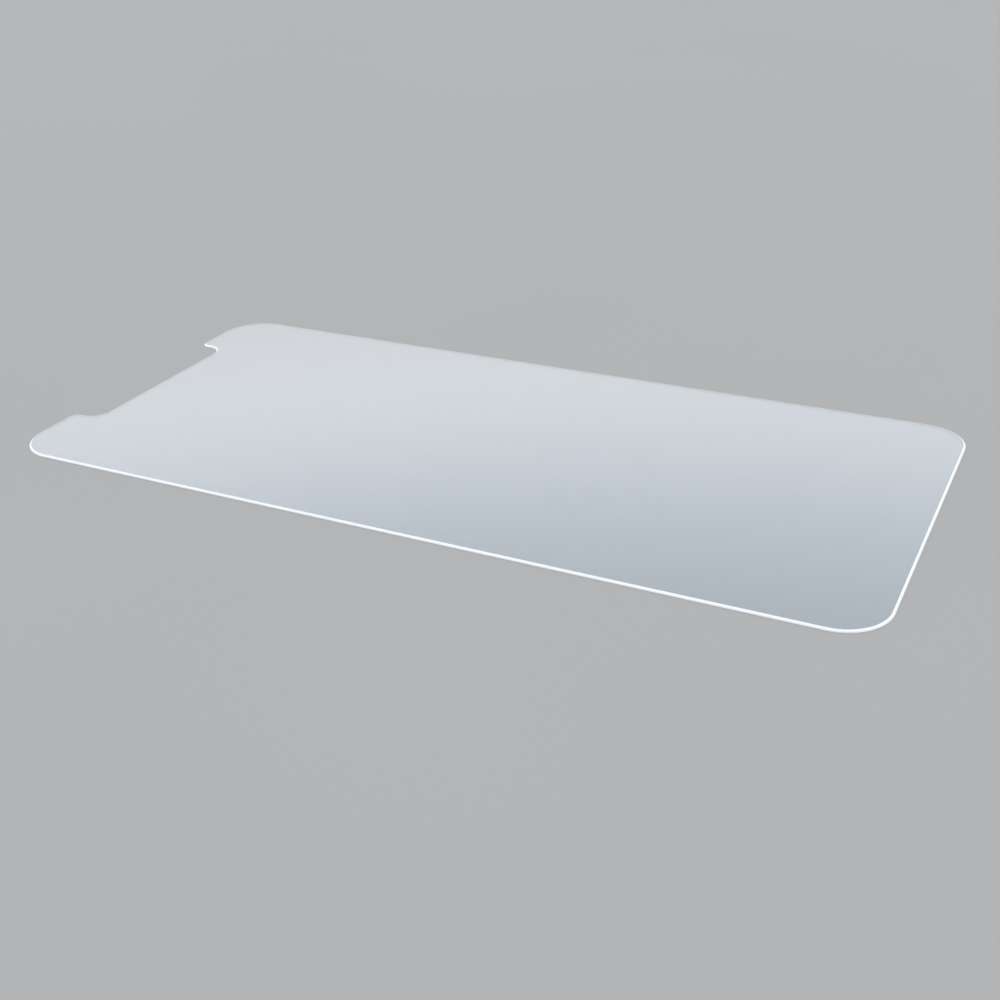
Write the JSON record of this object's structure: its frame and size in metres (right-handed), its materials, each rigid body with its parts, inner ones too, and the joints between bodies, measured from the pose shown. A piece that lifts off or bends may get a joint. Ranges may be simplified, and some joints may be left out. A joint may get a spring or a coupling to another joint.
{
  "type": "phone screen protector",
  "caption": "Thin flat sheet of clear tempered glass with rounded corners, a crowned ground edge and a notch in one short end, made to lie on a phone's display.",
  "frame": {"origin": "centre of the sheet's outline, on its underside", "axes": "+X along the length, away from the notched end; +Y across the width; +Z out of the upper face"},
  "size_m": [0.1396, 0.065, 0.0003],
  "materials": {
    "tempered_glass": "polished faces, fine-ground edge"
  },
  "bodies": {
    "root": {"glass_sheet": "tempered_glass"}
  },
  "joints": []
}
